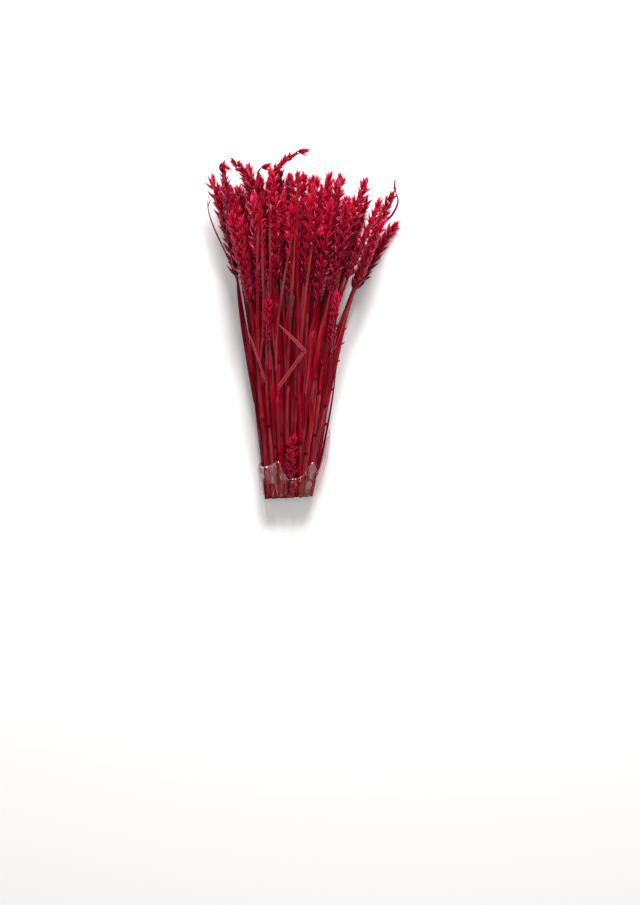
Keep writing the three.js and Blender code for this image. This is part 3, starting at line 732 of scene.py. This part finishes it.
def srgb(colour):
    """Linear colour with alpha 1 from an sRGB hex value."""
    value = np.array([int(colour[i : i + 2], 16) for i in (1, 3, 5)]) / 255
    linear = np.where(value <= 0.04045, value / 12.92, ((value + 0.055) / 1.055) ** 2.4)
    return (*linear.tolist(), 1.0)


def add_node(tree, kind, inputs, **settings):
    """Adds one shader node and gives its outputs. Inputs by name or number are values, or outputs to link."""
    node = tree.nodes.new("ShaderNode" + kind)
    for name, value in settings.items():
        setattr(node, name, value)
    for socket, value in inputs.items():
        if isinstance(value, bpy.types.NodeSocket):
            tree.links.new(value, node.inputs[socket])
        else:
            node.inputs[socket].default_value = value
    return node.outputs


def make_material(shader):
    """A node material named for the function that builds its shader in the material's tree."""
    material = bpy.data.materials.new(shader.__name__)
    material.use_nodes = True
    tree = material.node_tree
    tree.nodes.clear()
    add_node(tree, "OutputMaterial", {"Surface": shader(tree)})
    return material


def lay_over(tree, colour, layers):
    """The colour with layers of other colours over it, one after the other.

    Each layer is a value, two levels of it, how much of the layer shows at either level, and its colour.
    """
    for value, low, high, at_low, at_high, layer in layers:
        levels = {"From Min": low, "From Max": high, "To Min": at_low, "To Max": at_high}
        shown = add_node(tree, "MapRange", {"Value": value, **levels})[0]
        colour = add_node(tree, "Mix", {0: shown, 6: colour, 7: srgb(layer)}, data_type="RGBA")[2]
    return colour


def dyed_straw(tree):
    """Dried wheat straw, dyed: a waxy stem with fine lengthways fibres, where the dye took unevenly.

    Some straws are browned, patches are worn pale, and the fibres show as dark streaks and fine lines.
    """
    grain = add_node(tree, "UVMap", {}, uv_map="grain")[0]
    tone = add_node(tree, "Attribute", {}, attribute_name="tone")["Fac"]
    apart = add_node(tree, "CombineXYZ", {"Z": tone})[0]
    place = add_node(tree, "VectorMath", {0: grain, 1: apart}, operation="ADD")[0]
    patterns = []
    for width, length, detail in STRAW_PATTERNS:
        stretch = (1 / (width * MM), 1 / (length * MM), STRAWS_APART)
        at = add_node(tree, "Mapping", {"Vector": place, "Scale": stretch})[0]
        patterns.append(add_node(tree, "TexNoise", {"Vector": at, "Scale": 1.0, "Detail": detail})[0])
    fibre, fine, patch = patterns
    dyed = add_node(tree, "Mix", {0: tone, 6: srgb("#7e0019"), 7: srgb("#c2102e")}, data_type="RGBA")[2]
    browned = (tone, 0.6, 1.0, 0.0, 0.95, "#963f46")
    worn = (patch, 0.5, 0.72, 0.0, 0.6, "#aa4850")
    streaks = (fibre, 0.36, 0.6, 0.6, 0.0, "#4a0004")
    lines = (fine, 0.4, 0.56, 0.55, 0.0, "#3e0003")
    colour = lay_over(tree, dyed, [browned, worn, streaks, lines])
    bump = add_node(tree, "Bump", {"Height": fine, "Strength": 0.5, "Distance": 0.25 * MM})[0]
    look = {
        "Base Color": colour,
        "Roughness": 0.56,
        "Specular IOR Level": 0.12,
        "Specular Tint": srgb("#ff7a8c"),
        "Normal": bump,
    }
    return add_node(tree, "BsdfPrincipled", look)[0]


def dyed_chaff(tree):
    """Dried wheat chaff, dyed: thin papery scales with fine veins and a varnish-like gloss.

    They are painted darker at the root, as shade where the scales overlap, and painted lighter at their tips
    and along their margins, as highlights, and some light comes through them.
    """
    grain = add_node(tree, "UVMap", {}, uv_map="grain")[0]
    tone = add_node(tree, "Attribute", {}, attribute_name="tone")["Fac"]
    around, upward, _ = add_node(tree, "SeparateXYZ", {"Vector": grain})
    from_keel = add_node(tree, "Math", {0: around, 1: CHAFF_KEEL_AT}, operation="SUBTRACT")[0]
    sideways = add_node(tree, "Math", {0: from_keel}, operation="ABSOLUTE")[0]
    from_edge = add_node(tree, "Math", {0: sideways, 1: CHAFF_EDGE_FROM_KEEL}, operation="SUBTRACT")[0]
    off_edge = add_node(tree, "Math", {0: from_edge}, operation="ABSOLUTE")[0]
    edge_highlight_share = add_node(tree, "Math", {0: upward, 1: CHAFF_MARGIN_HIGHLIGHT}, operation="MULTIPLY")[0]
    vein_stretch = (CHAFF_GIRTH / CHAFF_VEIN_WIDTH, CHAFF_LENGTH / CHAFF_VEIN_LENGTH, 1)
    vein_at = add_node(tree, "Mapping", {"Vector": grain, "Scale": vein_stretch})[0]
    vein = add_node(tree, "TexNoise", {"Vector": vein_at, "Scale": 1.0, "Detail": 2.0})[0]
    dyed = add_node(tree, "Mix", {0: tone, 6: srgb("#6e000e"), 7: srgb("#cc002b")}, data_type="RGBA")[2]
    # Painted shade at the scales' roots, where they overlap, and painted highlights at their tips and along
    # their margins
    root = (upward, 0.0, 0.5, 0.85, 0.0, "#500005")
    tip = (upward, 0.6, 1.0, 0.0, 0.4, "#dc1854")
    margin_highlight = (off_edge, 0.0, 0.08, edge_highlight_share, 0.0, "#e84a7c")
    veins = (vein, 0.4, 0.6, 0.35, 0.0, "#520006")
    colour = lay_over(tree, dyed, [root, tip, margin_highlight, veins])
    bump = add_node(tree, "Bump", {"Height": vein, "Strength": 0.4, "Distance": 0.2 * MM})[0]
    look = {
        "Base Color": colour,
        "Roughness": 0.2,
        "Specular IOR Level": 0.55,
        "Specular Tint": srgb("#ff4a90"),
        "Subsurface Weight": 0.6,
        "Subsurface Radius": (1.0, 0.1, 0.16),
        "Subsurface Scale": 2.5 * MM,
        "Coat Weight": 0.14,
        "Coat Roughness": 0.12,
        "Normal": bump,
    }
    return add_node(tree, "BsdfPrincipled", look)[0]


def dyed_leaf(tree):
    """Dry wheat leaf, dyed: a papery ribbon with veins along it, worn pale along both edges."""
    grain = add_node(tree, "UVMap", {}, uv_map="grain")[0]
    around = add_node(tree, "SeparateXYZ", {"Vector": grain})["X"]
    turn = add_node(tree, "Math", {0: around, 1: 2 * np.pi}, operation="MULTIPLY")[0]
    outward = add_node(tree, "Math", {0: turn}, operation="COSINE")[0]
    beside = add_node(tree, "Math", {0: outward}, operation="ABSOLUTE")[0]
    vein_stretch = (LEAF_GIRTH / LEAF_VEIN_WIDTH, 1 / (LEAF_VEIN_LENGTH * MM), 1)
    vein_at = add_node(tree, "Mapping", {"Vector": grain, "Scale": vein_stretch})[0]
    vein = add_node(tree, "TexNoise", {"Vector": vein_at, "Scale": 1.0, "Detail": 2.0})[0]
    blade = add_node(tree, "Mix", {0: vein, 6: srgb("#7a0016"), 7: srgb("#a8142a")}, data_type="RGBA")[2]
    colour = lay_over(tree, blade, [(beside, 0.7, 0.95, 0.0, 0.75, "#c8606c")])
    bump = add_node(tree, "Bump", {"Height": vein, "Strength": 0.3, "Distance": 0.2 * MM})[0]
    look = {"Base Color": colour, "Roughness": 0.42, "Specular IOR Level": 0.35, "Normal": bump}
    return add_node(tree, "BsdfPrincipled", look)[0]


def clear_film(tree):
    """Cast clear film: colourless and glossy, seen by the light on it and by painted glints, which are more
    of its glossy layer along its upper edge and its creases.

    It is crumpled into flat facets, each with its own haze.
    """
    place = add_node(tree, "TexCoord", {})["Object"]
    upward = add_node(tree, "Attribute", {}, attribute_name="tone")["Fac"]
    crease_scale = [1 / (size * MM) for size in FILM_CREASE_SIZE]
    crease_at = add_node(tree, "Mapping", {"Vector": place, "Scale": crease_scale})[0]
    crease_form = {"Vector": crease_at, "Scale": 1.0, "Detail": 2.0, "Distortion": 0.9}
    crease = add_node(tree, "TexNoise", crease_form)[0]
    bump = add_node(tree, "Bump", {"Height": crease, "Strength": 0.4, "Distance": 6 * MM})[0]
    facet_turn, facet_scale = (0, 0, FILM_FACET_SLANT), [1 / (size * MM) for size in FILM_FACET_SIZE]
    facet_at = add_node(tree, "Mapping", {"Vector": place, "Rotation": facet_turn, "Scale": facet_scale})[0]
    facet_form = {"Vector": facet_at, "Scale": 1.0}
    facet = add_node(tree, "TexVoronoi", facet_form)["Color"]
    off_facet_edge = add_node(tree, "TexVoronoi", facet_form, feature="DISTANCE_TO_EDGE")["Distance"]
    facing = add_node(tree, "LayerWeight", {"Blend": 0.25, "Normal": bump})["Fresnel"]
    shares = []
    # Shares of the glossy layer: painted glint lines along the facets' edges and the upper edge, a veil by
    # the viewing angle, and haze by facet
    for value, low, high, at_low, at_high in (
        (off_facet_edge, 0.0, 0.03, 0.1, 0.0),
        (upward, 0.965, 1.0, 0.0, 0.45),
        (facing, 0.0, 1.0, 0.0, 0.35),
        (facet, 0.4, 0.8, 0.0, 0.055),
    ):
        levels = {"From Min": low, "From Max": high, "To Min": at_low, "To Max": at_high}
        shares.append(add_node(tree, "MapRange", {"Value": value, **levels})[0])
    crease_glint, edge, veil, haze = shares
    lines = add_node(tree, "Math", {0: crease_glint, 1: edge}, operation="MAXIMUM")[0]
    hazed = add_node(tree, "Math", {0: veil, 1: haze}, operation="ADD")[0]
    seen = add_node(tree, "Math", {0: hazed, 1: lines}, operation="ADD")[0]
    look = {"Base Color": srgb("#ffe6e6"), "Metallic": 0.85, "Roughness": 0.2, "Normal": bump}
    shine = add_node(tree, "BsdfPrincipled", look)
    clear = add_node(tree, "BsdfTransparent", {"Color": srgb("#fffafa")})
    return add_node(tree, "MixShader", {0: seen, 1: clear[0], 2: shine[0]})[0]


def pale_floor(tree):
    """Backdrop paper, coated matt: an even pale ground that shows only soft shadows."""
    return add_node(tree, "BsdfPrincipled", {"Base Color": srgb("#f6f5f4"), "Roughness": 0.9})[0]


def make_stalk(stalk, finishes):
    """One stalk's piece: its culm, its ear, and the strips, leaf, strands, curl or flakes on it."""
    skins = Skins()
    add_culm(skins, stalk)
    if "ear" in stalk.lines:
        add_ear(skins, stalk)
    if stalk.name.startswith("stalk"):
        add_strips(skins, stalk, stalk.name in RIGHT_EDGE)
    if stalk.name in FLAKED_STALKS:
        add_flakes(skins, stalk)
    if stalk.name in LEAVES:
        start, half_width, points = LEAVES[stalk.name]
        straw = stalk.lines["straw"]
        root, _ = straw.at(start * straw.length)
        leaf = Line(straight_through([root, *points]))
        add_blade(skins, leaf, half_width, **LEAF_FORM)
    for name, grows_on, start, half_width, tone, spikelet, points in STRANDS:
        if name != stalk.name:
            continue
        line = stalk.lines[grows_on]
        root, _ = line.at(start * line.length)
        strand = Line(smooth_through([root, *points]))
        stalk.lines["strand"] = strand
        add_blade(skins, strand, half_width, STRAND_ROUNDNESS * half_width, tone=tone)
        if spikelet:
            add_end_spikelet(skins, strand, spikelet)
    skins.press_flat()
    skins.piece(f"wheat_{stalk.name}", stalk.name, "dyed_straw", finishes)


def make_film(finish):
    """The film as two layers joined at both edges, with pleats that deepen towards its loose upper edge.

    The pleats are sine waves of 7, 17 and 31 turns round it, and slanted ripples run between them. A flap
    stands off on the right, and sharp creases run up to the edge's peaks, both as bell curves of the angle.
    Its tone runs from 0 at the cut ends to 1 at the upper edge.
    """
    sides = FINE_FILM_SIDES
    angle = 2 * np.pi * np.arange(sides) / sides
    share = np.linspace(0, 1, FINE_FILM_RINGS)
    up = share[:, None]
    pleat = np.sin(7 * angle + 1.3 * np.sin(3 * angle))
    pleat = pleat + 0.6 * np.sin(17 * angle + 2.0) + 0.35 * np.sin(31 * angle)
    proud = FILM_PROUD + (FILM_OPENING + FILM_PLEAT * pleat) * up**1.5
    proud = proud + FILM_RIPPLE * np.abs(np.sin(9 * up + 5 * angle)) - FILM_DRAWN_IN * (1 - up) ** 2
    from_right = np.minimum(angle, 2 * np.pi - angle)
    flap = np.exp(-((from_right / FILM_FLAP_WIDTH) ** 2)) * np.sin(np.pi * up**1.2)
    from_crease = np.abs(angle[:, None] - np.radians(FILM_CREASES))
    crease = np.exp(-((from_crease / FILM_CREASE_WIDTH) ** 2)).sum(1) * up
    proud = proud + FILM_FLAP * flap + FILM_CREASE_HEIGHT * crease
    edge = np.interp(angle, np.radians(FINE_EDGE_ANGLES), FINE_EDGE_Y)
    y = FINE_FILM_CUT_Y + (edge - FINE_FILM_CUT_Y) * up
    outer = film_layer(angle, y, proud)
    inner = film_layer(angle, y[::-1], proud[::-1] - FILM_THICKNESS)
    rings = np.concatenate([outer, inner])
    stack = len(rings)
    here = np.arange(sides)
    following = (here + 1) % sides
    level = sides * np.arange(stack)[:, None]
    above = sides * ((np.arange(stack) + 1) % stack)[:, None]
    quads = np.stack([level + following, level + here, above + here, above + following], -1).reshape(-1, 4)
    skins = Skins()
    skins.vertices.append(rings)
    skins.faces.append(quads)
    skins.grain.append(rings.reshape(-1, 3)[quads.ravel()][:, :2] * MM)
    skins.tone.append(np.repeat(np.concatenate([share, share[::-1]]), sides))
    skins.finish.append(np.zeros(len(quads)))
    skins.piece("film_wrap", "film_sleeve", "clear_film", [finish])


def make_stage():
    """The floor, a lamp beyond the ears, a wide soft light from overhead and an even pale surround."""
    reach, floor_z = 12, -0.0006
    mesh = bpy.data.meshes.new("floor")
    corners = [(x * reach, y * reach, floor_z) for x, y in ((-1, -1), (1, -1), (1, 1), (-1, 1))]
    mesh.from_pydata(corners, [], [(0, 1, 2, 3)])
    mesh.materials.append(make_material(pale_floor))
    floor = add_object("floor", mesh)
    lamp = bpy.data.lights.new("lamp_beyond_ears", "AREA")
    lamp.size = 0.45
    lamp.energy = 29
    overhead = bpy.data.lights.new("soft_overhead", "SUN")
    overhead.angle = np.radians(70)
    overhead.energy = 1.35
    for source, place, turn in (
        (lamp, (0.12, 1.05, 0.95), (-0.79, 0.1, 0)),
        (overhead, (0, -0.5, 2), (0.24, 0, 0)),
    ):
        light = add_object(source.name, source)
        light.location = place
        light.rotation_euler = turn
    world = bpy.data.worlds.new("surround")
    world.use_nodes = True
    background = world.node_tree.nodes["Background"].inputs
    background["Color"].default_value = srgb("#ffffff")
    background["Strength"].default_value = 0.16
    bpy.context.scene.world = world
    bpy.context.scene.view_settings.view_transform = "Standard"


def make_camera():
    """A camera straight above, with the ears up: the photo's middle and mm a pixel set its place and lens."""
    photo_width, pixel, photo_middle = 640, 0.85, np.array([25.5, 37.8])
    bunch_height, reach = 30, 1800
    camera = bpy.data.cameras.new("above")
    camera.sensor_fit = "HORIZONTAL"
    camera.lens = camera.sensor_width * reach / (photo_width * pixel)
    view = add_object("above", camera)
    view.location = (np.array([*photo_middle, bunch_height + reach]) + layout_shift) * MM
    bpy.context.scene.camera = view


stalks = []
for row, count in enumerate(ROW_COUNTS):
    for column in range(count):
        stalks.append(lane_stalk(row, column, len(stalks) + 1))
for i, name in enumerate(SHORT_STALKS):
    stalks.append(short_stalk(name, SHORT_STALK_SEED + i))
for i, (name, points) in enumerate(BARE_STRAWS.items()):
    stalks.append(Stalk(name, smooth_through(points), seed=BARE_STRAW_SEED + i))

finishes = [make_material(shader) for shader in (dyed_straw, dyed_chaff, dyed_leaf)]
for stalk in stalks:
    make_stalk(stalk, finishes)
make_film(make_material(clear_film))
make_stage()
make_camera()
